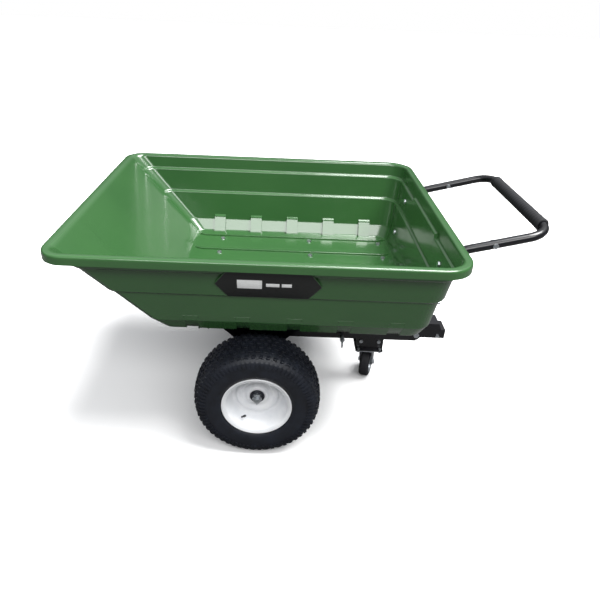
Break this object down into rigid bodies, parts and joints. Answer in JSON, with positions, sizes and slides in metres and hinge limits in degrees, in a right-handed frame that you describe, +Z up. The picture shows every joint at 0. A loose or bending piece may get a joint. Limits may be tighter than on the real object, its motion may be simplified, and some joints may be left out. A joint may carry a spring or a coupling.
{
  "type": "tow behind cart",
  "caption": "Two-wheel dump cart with a sloping moulded tray that tips on its axle, a push handle, a folding drawbar with hitch jaw, and a swivel castor under the beam.",
  "frame": {"origin": "on the ground under the middle of the bounding box", "axes": "+X towards the push handle and the extended drawbar, +Z up, +Y to the cart's left"},
  "size_m": [1.427, 0.97, 0.7802],
  "materials": {
    "green_plastic": "glossy moulded polyethylene",
    "black_steel": "gloss black powder coat",
    "zinc": "bright zinc plate",
    "white_rim": "pale silver paint",
    "tyre": "matt black rubber",
    "rubber": "matt rubber",
    "foam_grip": "ribbed soft grip",
    "black_plastic": "moulded plastic",
    "label": "satin sticker"
  },
  "bodies": {
    "chassis": {"axle": "zinc", "axle_plates": "black_steel", "axle_spacers": "zinc", "axle_nuts": "zinc", "cotter_pins": "zinc", "main_beam": "black_steel", "front_bracket": "black_steel", "front_bracket_bolts": "zinc", "hinge_bolt": "zinc", "rest_post": "black_steel", "rest_pad": "rubber", "latch_guide": "black_steel", "lock_pin_boss": "black_steel"},
    "tray_group": {"tray": "green_plastic", "rear_cross_member": "black_steel", "middle_cross_member": "black_steel", "front_cross_member": "black_steel", "floor_bolts": "zinc", "left_axle_bracket": "black_steel", "right_axle_bracket": "black_steel", "axle_bushes": "black_plastic", "latch_tab": "black_steel", "left_handle_leg": "black_steel", "right_handle_leg": "black_steel", "handle_bow": "black_steel", "handle_grip": "foam_grip", "handle_bolts": "zinc", "wall_bolts": "zinc", "wall_spacers": "black_plastic", "leg_end_caps": "black_plastic", "left_label": "label", "right_label": "label"},
    "left_wheel": {"left_tyre": "tyre", "left_rim": "white_rim", "left_hub": "zinc", "left_bearings": "black_plastic", "left_valve": "black_plastic"},
    "right_wheel": {"right_tyre": "tyre", "right_rim": "white_rim", "right_hub": "zinc", "right_bearings": "black_plastic", "right_valve": "black_plastic"},
    "drawbar_group": {"drawbar": "black_steel", "drawbar_bush": "black_plastic", "hitch_jaw": "black_steel", "coupling_pin": "zinc", "coupling_clip": "zinc", "castor_bracket": "black_steel", "castor_bracket_bolts": "zinc", "castor_spacers": "zinc", "castor_plate": "zinc"},
    "castor_swivel": {"castor_fork": "zinc", "castor_axle_bolt": "zinc"},
    "castor_wheel": {"castor_tyre": "rubber", "castor_core": "zinc", "castor_bush": "black_plastic"},
    "drawbar_lock": {"lock_pin": "zinc"},
    "tipping_latch": {"latch_pin": "zinc"}
  },
  "joints": [
    {"name": "tray_tip", "type": "hinge", "parent": "chassis", "child": "tray_group", "pos_m": [-0.1385, 0, 0.203], "axis": [0, -1, 0], "range_deg": [0, 55]},
    {"name": "left_wheel_spin", "type": "hinge", "parent": "chassis", "child": "left_wheel", "pos_m": [-0.1385, 0.355, 0.203], "axis": [0, 1, 0], "continuous": true},
    {"name": "right_wheel_spin", "type": "hinge", "parent": "chassis", "child": "right_wheel", "pos_m": [-0.1385, -0.355, 0.203], "axis": [0, 1, 0], "continuous": true},
    {"name": "drawbar_fold", "type": "hinge", "parent": "chassis", "child": "drawbar_group", "pos_m": [0.4395, 0, 0.238], "axis": [0, -1, 0], "range_deg": [0, 180]},
    {"name": "castor_turn", "type": "hinge", "parent": "drawbar_group", "child": "castor_swivel", "pos_m": [0.2715, 0, 0.15], "axis": [0, 0, 1], "continuous": true},
    {"name": "castor_spin", "type": "hinge", "parent": "castor_swivel", "child": "castor_wheel", "pos_m": [0.28347, 0.03289, 0.0625], "axis": [-0.9397, 0.342, 0], "continuous": true},
    {"name": "drawbar_lock_slide", "type": "slide", "parent": "chassis", "child": "drawbar_lock", "axis": [0, 1, 0], "range_m": [0, 0.022]},
    {"name": "tipping_latch_slide", "type": "slide", "parent": "chassis", "child": "tipping_latch", "axis": [0, 1, 0], "range_m": [0, 0.022]}
  ]
}
